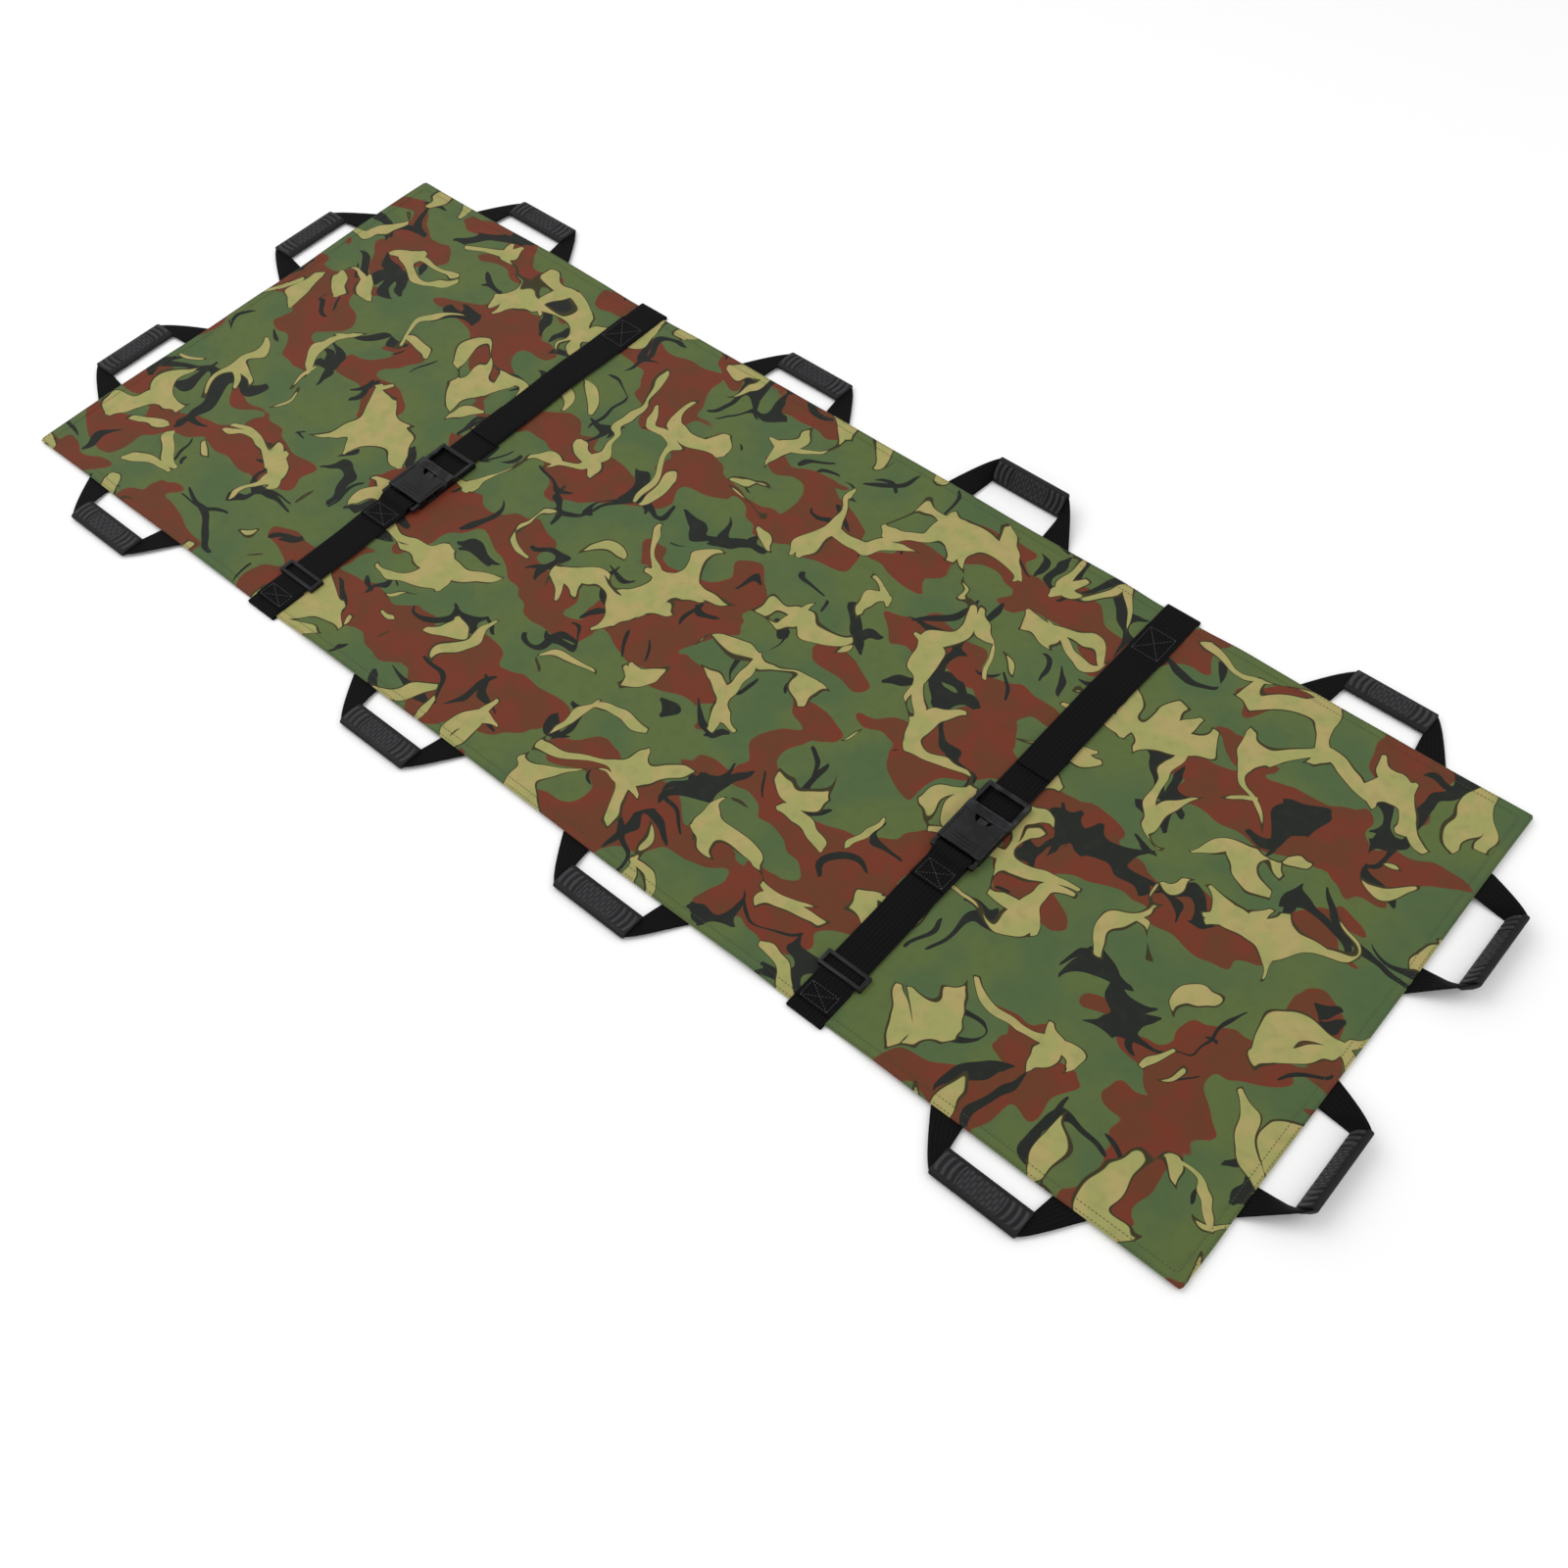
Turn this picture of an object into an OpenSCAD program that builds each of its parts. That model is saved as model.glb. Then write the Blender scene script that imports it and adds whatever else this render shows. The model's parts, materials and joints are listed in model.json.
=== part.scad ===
// Soft folding stretcher: a two-layer cloth sheet that folds in four, carried by twelve
// webbing handles with moulded grips, with two patient belts that close with side-release buckles.
// X runs from the head end to the foot end, Y from the patient's right to left, Z up.
// The origin is the middle of the sheet, on the ground.

/* [Sheet] */
// Length of the sheet, head to foot
sheet_l = 1900; // [1800:10:2100]
// Width of the sheet
sheet_w = 740; // [700:10:820]
// Thickness of one layer of cloth
cloth_t = 1; // [0.8:0.1:1.5]
// Thickness of the load webbing under the sheet
web_t = 2; // [1.5:0.1:2.5]
// Width of the hem around the sheet
hem_w = 15; // [10:1:20]

/* [Folding] */
// Distance of each outer fold line from the middle fold line
fold_x = 575; // [560:5:600]
// Gap between neighbouring panels at a fold line
fold_gap = 1; // [0.5:0.5:2]

/* [Handles] */
// Distance from the middle of the sheet to the inner side handles
inner_handle_x = 186; // [180:1:200]
// Distance from the middle of the sheet to the outer side handles
outer_handle_x = 735; // [725:1:745]
// Distance from the centre line to the handles on the two ends
end_handle_y = 168; // [150:1:180]
// Width of the handle webbing
leg_w = 42; // [36:1:46]
// Distance between the middles of a handle's two roots
leg_pitch = 158; // [150:1:162]
// Length of a moulded grip
grip_l = 112; // [104:1:116]
// Width of a moulded grip
grip_w = 36; // [32:1:38]
// Thickness of a moulded grip
grip_t = 10; // [8:0.5:11]
// How far a handle reaches out from the sheet's edge
handle_reach = 63; // [60:1:68]
// Angle to which a twisted handle's grip is rolled
rolled_angle = 60; // [45:5:60]

/* [Belts] */
// Distance from the middle of the sheet to each patient belt
belt_x = 462; // [455:1:470]
// Width of the belt webbing
belt_w = 50; // [48:1:50]
// Thickness of the belt webbing
belt_t = 1.8; // [1.4:0.1:1.8]
// Distance from the centre line to the head belt's buckle mouth, towards the patient's right
head_mouth = 70; // [40:5:90]
// Distance from the centre line to the foot belt's buckle mouth, towards the patient's right
foot_mouth = 47; // [40:1:90]
// Inner end of the anchor on the patient's left
left_anchor_y = 272; // [260:1:290]
// Inner end of the anchor on the patient's right
right_anchor_y = 322; // [310:1:330]

/* [Buckles] */
// Width of a buckle
buckle_w = 62; // [60:1:64]
// Height of a buckle
buckle_h = 13; // [12:0.5:14]
// Length of the socket half
socket_l = 64; // [60:1:70]
// Length of the plug half's frame
frame_l = 52; // [48:1:56]
// Reach of the latch arms into the socket
arm_l = 36; // [32:1:38]

/* [Hidden] */
$fn = 32;
panels = ["head_end", "head_mid", "foot_mid", "foot_end"];
belts = ["head_belt", "foot_belt"];
camo = "darkolivegreen";
cloth_back = [0.16, 0.19, 0.14];
webbing = [0.07, 0.07, 0.07];
plastic = [0.11, 0.11, 0.12];

// Levels above the ground
base_z = web_t;
top_z = base_z + cloth_t;
sheet_z = top_z + cloth_t;

// Handles: [name, x or y along its edge, edge's outward turn from +X, rolled]
handles = [
    ["left_handle_1", -outer_handle_x, 90, false],
    ["left_handle_2", -inner_handle_x, 90, false],
    ["left_handle_3", inner_handle_x, 90, true],
    ["left_handle_4", outer_handle_x, 90, false],
    ["right_handle_1", -outer_handle_x, -90, false],
    ["right_handle_2", -inner_handle_x, -90, false],
    ["right_handle_3", inner_handle_x, -90, false],
    ["right_handle_4", outer_handle_x, -90, false],
    ["head_handle_left", end_handle_y, 180, false],
    ["head_handle_right", -end_handle_y, 180, false],
    ["foot_handle_left", end_handle_y, 0, true],
    ["foot_handle_right", -end_handle_y, 0, true]
];
root_gap = 2;                       // clear gap between the sheet's edge and a handle's roots
root_flat = 6;                      // each root lies flat this far before it rises to the grip
core_w = 28;                        // webbing narrowed to pass through the grip
core_end = 1;                       // webbing that shows beyond each end of the grip
core_inset = 0.2;                   // step where a leg's slanting part meets its other parts
core_clear = 0.3;                   // room between that webbing and the grip
rib_w = 5;                          // one raised rib of a grip
rib_rise = 0.6;                     // how far the ribs stand above the grip
rib_count = 3;                      // ribs at each end of a grip
rib_step = 8;
grip_r = 4;                         // corner radius of a grip's section
slot_run = 4;                       // the grip's slot is cut this far past its ends

// Belts: levels and clearances
slip = 0.3;                         // running clearance of the plastic parts on the webbing
bar_slip = 0.4;                     // the same over a bar and under the latch arms
bar_t = 1.6;                        // the bar that the webbing rides over
buckle_z = sheet_z + slip;          // underside of a buckle
buckle_top = buckle_z + buckle_h;
belt_z = buckle_z + bar_t + bar_slip;
belt_mid = belt_z + belt_t / 2;
belt_top = belt_z + belt_t;
deck_z = belt_top + slip;           // underside of the parts above the webbing
anchor_t = 2;                       // an anchor's two stitched layers
anchor_lap = 4;                     // each half of a belt starts this far inside its anchor
underlay_reach = 6;                 // belt webbing showing beyond the sheet's edge
layer_gap = 0.1;                    // gap between two layers of belt webbing
sewn_narrow = 1;                    // a doubled layer is this much narrower than the belt
rail_w = (buckle_w - belt_w) / 2 - 1;
rail_drop = 3.5;                    // side rails end this far below the buckle's top

// Belt runs, along Y
left_start = 20;                    // plug half's webbing starts this far past the mouth
tail_l = 60;                        // length of the spare end
tail_gap = 4;                       // clear of the plug at the end of its travel
plug_travel = 40;
loop_in = 10;                       // socket half's webbing turns up this far inside the bar
loop_out = 3;                       // and comes off the bar this far outside it
loop_slope = 12;                    // then lies back on itself by here
loop_sewn = 45;                     // and is sewn down to here
loop_drop = 1;                      // top of the turn below the buckle's top

// Socket
bar_run = 13;                       // open end of the socket, where the webbing turns
bar_l = 6;                          // width of the bars at the ends of both halves
end_wall = 4;                       // wall between the cavity and the open end
roof_t = 2;
floor_t = deck_z - buckle_z;
cavity_h = buckle_h - floor_t - roof_t;
mouth_half = 24;                    // half the width of the socket's mouth
mouth_run = 20;                     // solid side wall between the mouth and the side window
window_l = 17;                      // side windows where the latch arms show
window_w = 10;
window_in = 4;                      // middle of a window from the side face
thumb_r = 12;                       // thumb relief in the roof at the mouth
thumb_out = 2;

// Plug
plug_face = 0.3;                    // clear of the socket's mouth
plug_base_l = 14;
plug_bar_y = 30;                    // the bar under the webbing
plug_bar_l = 5;
plug_bar_t = 4.5;                   // the bar over the webbing
tongue_w = 12;
tongue_short = 8;                   // the tongue's square part ends this far before the arms do
tongue_tip = 3;                     // its round tip's middle before the arms' ends
tongue_root = 1;                    // it runs this far into the plug's base

// Latch arms
arm_root = 15;                      // inner edge of a latch arm from the centre line
arm_w = 6;
arm_z = deck_z + bar_slip;
arm_t = 5.6;
pad_out = 29;                       // thumb pad's outer edge from the centre line
pad_gap = 2;                        // clear of the side wall before the window
pad_short = 4;                      // clear of the window's far end
arm_tip = 2;                        // the bevel at the arm's end
arm_bevel = 4;

// Adjuster
adjuster_l = 22;                    // length of a three-bar adjuster
adjuster_in = 18;                   // its rest position inside the anchor
adjuster_bar = 5;
adjuster_bar_t = 2;

PANEL_PARTS = ["_top_cloth", "_base_cloth", "_load_webbing", "_hem"];
BELT_PARTS = ["_left_anchor", "_right_anchor", "_left_webbing", "_right_webbing",
    "_socket", "_plug", "_latch_arm_head_side", "_latch_arm_foot_side", "_adjuster"];

// ---- the sheet ----

// X limits of a panel: 0 head end, 1 head middle, 2 foot middle, 3 foot end
function panel_x(i) =
    let (lines = [-sheet_l / 2, -fold_x, 0, fold_x, sheet_l / 2], g = fold_gap / 2)
    [lines[i] + (i == 0 ? 0 : g), lines[i + 1] - (i == 3 ? 0 : g)];

// X limits of the flat cloth inside the hem
function cloth_x(i) =
    let (p = panel_x(i)) [p[0] + (i == 0 ? hem_w : 0), p[1] - (i == 3 ? hem_w : 0)];

module slab(x0, x1, half_w, z, t)
    translate([x0, -half_w, z]) cube([x1 - x0, 2 * half_w, t]);

module top_cloth(i) color(camo)
    slab(cloth_x(i)[0], cloth_x(i)[1], sheet_w / 2 - hem_w, top_z, cloth_t);

module base_cloth(i) color(cloth_back)
    slab(cloth_x(i)[0], cloth_x(i)[1], sheet_w / 2 - hem_w, base_z, cloth_t);

// The rim where both layers are turned in and stitched: three sides on an end panel, two on a middle one
module hem(i) color(camo) difference() {
    slab(panel_x(i)[0], panel_x(i)[1], sheet_w / 2, base_z, 2 * cloth_t);
    slab(cloth_x(i)[0] - (i == 0 ? 0 : hem_w), cloth_x(i)[1] + (i == 3 ? 0 : hem_w),
        sheet_w / 2 - hem_w, base_z - cloth_t, 4 * cloth_t);
}

// Bands under one panel that join each handle to the one opposite, and the belt's own band
module load_webbing(i) color(webbing) {
    outer = i == 0 || i == 3;
    side = i < 2 ? -1 : 1;
    x_mid = side * (outer ? outer_handle_x : inner_handle_x);
    for (s = [-1, 1])
        translate([x_mid + s * leg_pitch / 2 - leg_w / 2, -sheet_w / 2, 0]) cube([leg_w, sheet_w, web_t]);
    for (e = [-1, 1], s = [-1, 1])
        translate([panel_x(i)[0], e * end_handle_y + s * leg_pitch / 2 - leg_w / 2, 0])
            cube([panel_x(i)[1] - panel_x(i)[0], leg_w, web_t]);
    if (!outer)
        translate([side * belt_x - belt_w / 2, -sheet_w / 2 - underlay_reach, 0])
            cube([belt_w, sheet_w + 2 * underlay_reach, web_t]);
}

// ---- handles ----

// Puts a part drawn outward along +X from the edge at x = 0 onto its own edge
module on_edge(h) {
    along_end = h[2] == 0 || h[2] == 180;
    edge = along_end ? sheet_l / 2 : sheet_w / 2;
    place = along_end ? [cos(h[2]) * edge, h[1], 0] : [h[1], sin(h[2]) * edge, 0];
    translate(place) rotate([0, 0, h[2]]) children();
}

// Half the height and half the reach of a rolled or flat grip's section, ribs included
function grip_half_z(rolled) = rolled
    ? (grip_w / 2 + rib_rise - grip_r) * sin(rolled_angle)
        + (grip_t / 2 + rib_rise - grip_r) * cos(rolled_angle) + grip_r
    : grip_t / 2 + rib_rise;
function grip_half_x(rolled) = rolled
    ? (grip_w / 2 + rib_rise - grip_r) * cos(rolled_angle)
        + (grip_t / 2 + rib_rise - grip_r) * sin(rolled_angle) + grip_r
    : grip_w / 2 + rib_rise;

// Moves a part drawn about the grip's long axis, along Y, to its place
module at_grip(rolled)
    translate([handle_reach - grip_half_x(rolled), 0, grip_half_z(rolled)])
        rotate([0, rolled ? -rolled_angle : 0, 0]) children();

module rounded_bar(w, t, l, r)
    rotate([90, 0, 0]) translate([0, 0, -l / 2]) linear_extrude(l) {
        square([w - 2 * r, t], center = true);
        square([w, t - 2 * r], center = true);
        for (sx = [-1, 1], sy = [-1, 1]) translate([sx * (w / 2 - r), sy * (t / 2 - r)]) circle(r);
    }

// One loop of webbing: two legs that turn from the sheet's edge into the grip
module handle_webbing(h) color(webbing) on_edge(h) {
    for (s = [-1, 1]) {
        translate([root_gap, s * leg_pitch / 2 - leg_w / 2, 0]) cube([root_flat, leg_w, web_t]);
        hull() {
            translate([root_gap + root_flat - core_end, s * leg_pitch / 2, web_t / 2])
                cube([core_end, leg_w - core_inset, web_t - core_inset], center = true);
            at_grip(h[3]) translate([0, s * (grip_l / 2 + core_end), 0])
                cube([core_w - core_inset, core_end, web_t - core_inset], center = true);
        }
    }
    at_grip(h[3]) cube([core_w, grip_l + 2 * core_end, web_t], center = true);
}

module grip(h) color(plastic) on_edge(h) at_grip(h[3]) difference() {
    union() {
        rounded_bar(grip_w, grip_t, grip_l, grip_r);
        for (s = [-1, 1], k = [0:rib_count - 1])
            translate([0, s * (grip_l / 2 - rib_w / 2 - k * rib_step), 0])
                rounded_bar(grip_w + 2 * rib_rise, grip_t + 2 * rib_rise, rib_w, grip_r);
    }
    cube([core_w + 2 * core_clear, grip_l + 2 * slot_run, web_t + 2 * core_clear], center = true);
}

// ---- belts ----

// Strap whose middle line follows points [y, z] in order, drawn across its width w
function unit(v) = v / norm(v);
function turn(v) = [-v[1], v[0]];
function strap_normal(p, i) =
    let (n = len(p) - 1,
        a = i == 0 ? undef : turn(unit(p[i] - p[i - 1])),
        b = i == n ? undef : turn(unit(p[i + 1] - p[i])))
    i == 0 ? b : (i == n ? a : (a + b) / (1 + a * b));
module strap(points, w, t) {
    n = len(points);
    side_a = [for (i = [0:n - 1]) points[i] + strap_normal(points, i) * t / 2];
    side_b = [for (i = [n - 1:-1:0]) points[i] - strap_normal(points, i) * t / 2];
    rotate([90, 0, 90]) translate([0, 0, -w / 2]) linear_extrude(w) polygon(concat(side_a, side_b));
}

function belt_side(b) = b == "head_belt" ? -1 : 1;
function mouth_y(b) = b == "head_belt" ? -head_mouth : -foot_mouth;

// Puts a part drawn about the buckle's mouth, with the plug side along +Y, onto its belt
module at_mouth(b) translate([belt_side(b) * belt_x, mouth_y(b), 0]) children();

module anchor(b, y0, y1) color(webbing)
    translate([belt_side(b) * belt_x - belt_w / 2, y0, sheet_z]) cube([belt_w, y1 - y0, anchor_t]);

// Half of the belt that carries the plug, with its spare end doubled back on top
module left_webbing(b) color(webbing) translate([belt_side(b) * belt_x, 0, 0]) {
    tail = mouth_y(b) + frame_l + plug_travel + tail_gap;
    strap([[mouth_y(b) + left_start, belt_mid], [left_anchor_y - anchor_lap, belt_mid]], belt_w, belt_t);
    translate([0, 0, belt_t + layer_gap])
        strap([[tail, belt_mid], [tail + tail_l, belt_mid]], belt_w - sewn_narrow, belt_t);
}

// Half of the belt that carries the socket, looped round the socket's bar and sewn down
module right_webbing(b) color(webbing) translate([belt_side(b) * belt_x, 0, 0]) {
    bar_end = mouth_y(b) - socket_l;
    over = buckle_top - loop_drop;
    doubled = belt_mid + belt_t + layer_gap;
    strap([[anchor_lap - right_anchor_y, belt_mid], [bar_end + loop_in, belt_mid],
        [bar_end + loop_in, over], [bar_end - loop_out, over],
        [bar_end - loop_slope, doubled], [bar_end - loop_sewn, doubled]], belt_w - sewn_narrow, belt_t);
}

// Two rails along the sides of a buckle part, from y0 to y1
module rails(y0, y1, z, h)
    for (s = [-1, 1])
        translate([s * (buckle_w - rail_w) / 2 - rail_w / 2, y0, z]) cube([rail_w, y1 - y0, h]);

// A bar across a buckle part
module bar(y, z, l, t) translate([-buckle_w / 2, y, z]) cube([buckle_w, l, t]);

// Socket half: a hollow housing with side windows and a bar for the webbing
module socket(b) color(plastic) at_mouth(b) {
    body_l = socket_l - bar_run;
    rail_h = buckle_h - floor_t - rail_drop;
    difference() {
        bar(-body_l, buckle_z, body_l, buckle_h);
        translate([-mouth_half, end_wall - body_l, deck_z]) cube([2 * mouth_half, body_l, cavity_h]);
        for (s = [-1, 1])
            translate([s * (buckle_w / 2 - window_in), -mouth_run - window_l / 2, deck_z + cavity_h / 2])
                cube([window_w, window_l, cavity_h], center = true);
        translate([0, thumb_out, deck_z + cavity_h]) cylinder(r = thumb_r, h = 2 * roof_t);
    }
    rails(-socket_l, 1 - body_l, deck_z, rail_h);
    bar(-socket_l, deck_z, bar_l, rail_h);
}

// Plug half: guide tongue, latch-arm root and a two-bar frame that the webbing runs through
module plug(b) color(plastic) at_mouth(b) {
    bar(plug_face, deck_z, plug_base_l, buckle_top - deck_z);
    rails(plug_face, frame_l, buckle_z, buckle_h - rail_drop);
    bar(frame_l - bar_l, deck_z, bar_l, plug_bar_t);
    bar(plug_bar_y, buckle_z, plug_bar_l, bar_t);
    hull() {
        translate([-tongue_w / 2, tongue_short - arm_l, arm_z])
            cube([tongue_w, arm_l - tongue_short + tongue_root, arm_t]);
        translate([0, tongue_tip - arm_l, arm_z]) cylinder(r = tongue_w / 4, h = arm_t);
    }
}

// One springy arm of the plug, on side s: it bends in as its thumb pad is pressed
module latch_arm(b, s) color(plastic) at_mouth(b) translate([0, 0, arm_z]) linear_extrude(arm_t)
    polygon([for (p = [
        [arm_root, 0], [arm_root + arm_w, 0], [arm_root + arm_w, -mouth_run - pad_gap],
        [pad_out, -mouth_run - pad_gap], [pad_out, pad_short - mouth_run - window_l],
        [arm_root + arm_w, -arm_l], [arm_root + arm_tip, -arm_l], [arm_root, arm_bevel - arm_l]])
        [s * p[0], p[1]]]);

// Three-bar adjuster on the socket half of the belt
module adjuster(b) color(plastic) translate([belt_side(b) * belt_x, adjuster_in - right_anchor_y, 0]) {
    half = adjuster_l / 2;
    rails(-half, half, buckle_z, deck_z + adjuster_bar_t - buckle_z);
    bar(-half, deck_z, adjuster_bar, adjuster_bar_t);
    bar(half - adjuster_bar, deck_z, adjuster_bar, adjuster_bar_t);
    bar(-adjuster_bar / 2, buckle_z, adjuster_bar, bar_t);
}

module panel_part(i, part) {
    if (part == "_top_cloth") top_cloth(i);
    if (part == "_base_cloth") base_cloth(i);
    if (part == "_load_webbing") load_webbing(i);
    if (part == "_hem") hem(i);
}

module belt_part(b, part) {
    if (part == "_left_anchor") anchor(b, left_anchor_y, sheet_w / 2);
    if (part == "_right_anchor") anchor(b, -sheet_w / 2, -right_anchor_y);
    if (part == "_left_webbing") left_webbing(b);
    if (part == "_right_webbing") right_webbing(b);
    if (part == "_socket") socket(b);
    if (part == "_plug") plug(b);
    if (part == "_latch_arm_head_side") latch_arm(b, -1);
    if (part == "_latch_arm_foot_side") latch_arm(b, 1);
    if (part == "_adjuster") adjuster(b);
}

for (i = [0:3], part = PANEL_PARTS)
    panel_part(i, part);
for (h = handles) {
    handle_webbing(h);
    grip(h);
}
for (b = belts, part = BELT_PARTS)
    belt_part(b, part);
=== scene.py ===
"""Looks of the soft folding stretcher: cloth, webbing, grips, buckles, stitching, floor, light and camera.

Lengths are in metres. X runs from the head end to the foot end, Y to the patient's left, Z up.
"""

import json
import math

import bmesh
import bpy
from mathutils import Matrix, Vector, noise

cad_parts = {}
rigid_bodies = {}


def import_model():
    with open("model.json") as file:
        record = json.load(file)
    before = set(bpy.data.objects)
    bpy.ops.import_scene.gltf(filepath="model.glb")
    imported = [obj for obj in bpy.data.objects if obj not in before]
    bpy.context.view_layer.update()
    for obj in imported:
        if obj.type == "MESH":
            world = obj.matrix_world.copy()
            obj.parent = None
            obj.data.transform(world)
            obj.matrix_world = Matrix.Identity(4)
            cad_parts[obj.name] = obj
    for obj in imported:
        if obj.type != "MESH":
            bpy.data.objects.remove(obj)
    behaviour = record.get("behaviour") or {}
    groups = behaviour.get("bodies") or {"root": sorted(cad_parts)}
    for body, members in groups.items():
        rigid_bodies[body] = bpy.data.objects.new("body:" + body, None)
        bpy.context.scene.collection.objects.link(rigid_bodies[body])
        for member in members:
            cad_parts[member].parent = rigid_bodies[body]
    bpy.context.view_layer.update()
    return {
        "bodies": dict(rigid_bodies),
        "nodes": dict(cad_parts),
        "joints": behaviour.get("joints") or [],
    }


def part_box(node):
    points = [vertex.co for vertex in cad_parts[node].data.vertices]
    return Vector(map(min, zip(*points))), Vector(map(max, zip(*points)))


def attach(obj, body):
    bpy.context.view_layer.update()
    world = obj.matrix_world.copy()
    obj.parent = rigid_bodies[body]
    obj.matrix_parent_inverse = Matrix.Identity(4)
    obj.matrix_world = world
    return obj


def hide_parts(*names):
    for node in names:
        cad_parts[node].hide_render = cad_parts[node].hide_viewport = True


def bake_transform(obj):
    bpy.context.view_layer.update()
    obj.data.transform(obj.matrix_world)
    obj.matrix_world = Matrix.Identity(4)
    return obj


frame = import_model()
MM = 0.001
UP = Vector((0, 0, 1))

# ---------------------------------------------------------------- places worked out from the frame

JOINTS = {j["name"]: j for j in frame["joints"]}
PANELS = ("head_end", "head_mid", "foot_mid", "foot_end")
BELTS = ("head_belt", "foot_belt")
HANDLES = [b for b in frame["bodies"] if "handle" in b]

HALF_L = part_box("foot_end_hem")[1][0]
HALF_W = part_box("foot_end_hem")[1][1]
HEM_W = HALF_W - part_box("foot_end_top_cloth")[1][1]
FOLD_X = JOINTS["fold_foot_end"]["pos_m"][0]
BASE_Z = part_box("foot_mid_base_cloth")[0][2]
SHEET_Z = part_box("foot_mid_top_cloth")[1][2]
SPLIT_X = FOLD_X / 2

# The cloth is cut finely over a length on the side of a fold that moves, where a bend would keep the still
# side down on the floor. The length is a share of the height of the fold's axis above the cloth.
BEND_SHARE = 1.2
FOLD_REACH = BEND_SHARE * (JOINTS["fold_foot_end"]["pos_m"][2] - SHEET_Z)
MIDDLE_REACH = BEND_SHARE * (JOINTS["fold_middle"]["pos_m"][2] - SHEET_Z)

# The visual sheet is cut midway between folds, so that each section crosses one fold.
SECTIONS = {
    "head": (-HALF_L, -SPLIT_X, "head_end_panel", "head_mid_panel", -FOLD_X, FOLD_REACH),
    "mid": (-SPLIT_X, SPLIT_X, "head_mid_panel", "foot_mid_panel", 0.0, MIDDLE_REACH),
    "foot": (SPLIT_X, HALF_L, "foot_mid_panel", "foot_end_panel", FOLD_X, FOLD_REACH),
}
SECTION_PANELS = {
    "head": ("head_end", "head_mid"),
    "mid": ("head_mid", "foot_mid"),
    "foot": ("foot_mid", "foot_end"),
}


def belt_x(belt):
    """Where a belt's middle line lies along the sheet."""
    return JOINTS[belt + "_open_left"]["pos_m"][0]


def mouth_y(belt):
    """The open end of a belt's socket, which the plug goes into."""
    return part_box(belt + "_socket")[1][1]


def smooth(t):
    """0 below 0, 1 above 1, and an even S between."""
    t = max(0.0, min(1.0, t))
    return t * t * (3 - 2 * t)


# Each hard part or sewn anchor, and the joint that slides it towards +Y, if it slides.
SLIDES = {
    "_socket": None, "_plug": "_pull_plug", "_adjuster": "_slide_adjuster",
    "_left_anchor": None, "_right_anchor": None,
}
HARD_PARTS = [
    (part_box(belt + part), JOINTS[belt + slide]["range_m"][1] if slide else 0.0)
    for belt in BELTS
    for part, slide in SLIDES.items()
]

# The cloth is flat this far round each of them, and has its full slack this much further out.
FLAT_ROUND = 0.006
SLACK_OVER = 0.07


def buckle_mask(x, y):
    """0 at the belts' anchors and where their hard parts lie or slide, rising to 1 away from them."""
    free = 1.0
    for (lo, hi), travel in HARD_PARTS:
        dx = max(lo[0] - x, x - hi[0], 0.0)
        dy = max(lo[1] - y, y - hi[1] - travel, 0.0)
        free = min(free, smooth((math.hypot(dx, dy) - FLAT_ROUND) / SLACK_OVER))
    return free


# The cloth's slack, in millimetres: its mean height, broad waves, fine waves, and a lift along the edges.
MEAN_SLACK = 1.8
BROAD_WAVES = 3.0
FINE_WAVES = 1.7
EDGE_LIFT = 3.0
# The edge's lift starts at this share of the way out, and is whole after this much more.
EDGE_FROM = 0.86
EDGE_OVER = 0.14


def ripple(x, y):
    """Height of the slack cloth above the flat, never below it."""
    broad = noise.noise(Vector((x * 2.1 + 3.7, y * 3.3, 0.4)))
    fine = noise.noise(Vector((x * 6.5, y * 7.5 + 2.0, 5.1)))
    rim = noise.noise(Vector((x * 4.2, y * 4.2, 9.3)))
    lift = MEAN_SLACK + BROAD_WAVES * broad + FINE_WAVES * fine
    edge = max(abs(y) / HALF_W, abs(x) / HALF_L)
    lift += EDGE_LIFT * smooth((edge - EDGE_FROM) / EDGE_OVER) * (0.5 + rim)
    return MM * max(0.0, lift) * buckle_mask(x, y)


# The most that the outline wanders, and the shares of the way out where that starts and over which it grows.
WANDER = 2.4 * MM
WANDER_FROM_X = 0.8
WANDER_OVER_X = 0.2
WANDER_FROM_Y = 0.6
WANDER_OVER_Y = 0.4


def edge_wander(x, y):
    """Small wander of the sheet's outline, as (dx, dy), that is never outward."""
    near_x = smooth((abs(x) / HALF_L - WANDER_FROM_X) / WANDER_OVER_X)
    near_y = smooth((abs(y) / HALF_W - WANDER_FROM_Y) / WANDER_OVER_Y)
    dx = -math.copysign(WANDER, x) * near_x * abs(noise.noise(Vector((y * 5.0, 1.3, x))))
    dy = -math.copysign(WANDER, y) * near_y * abs(noise.noise(Vector((x * 4.0, 7.9, y))))
    return dx, dy


# ---------------------------------------------------------------- mesh helpers


def make_object(name, verts, faces, uvs, material, crease):
    """A smooth mesh object with its UVs, sharp where it turns by more than crease degrees."""
    mesh = bpy.data.meshes.new(name)
    mesh.from_pydata([tuple(v) for v in verts], [], faces)
    layer = mesh.uv_layers.new(name="surface")
    for loop in mesh.loops:
        layer.data[loop.index].uv = uvs[loop.vertex_index]
    mesh.polygons.foreach_set("use_smooth", [True] * len(mesh.polygons))
    mesh.set_sharp_from_angle(angle=math.radians(crease))
    mesh.materials.append(material)
    obj = bpy.data.objects.new(name, mesh)
    bpy.context.scene.collection.objects.link(obj)
    return obj


# How finely cloth is cut where it bends, and the least room beside those cuts.
BEND_STEPS = 24
STEP_ROOM = 0.5 * MM


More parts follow.
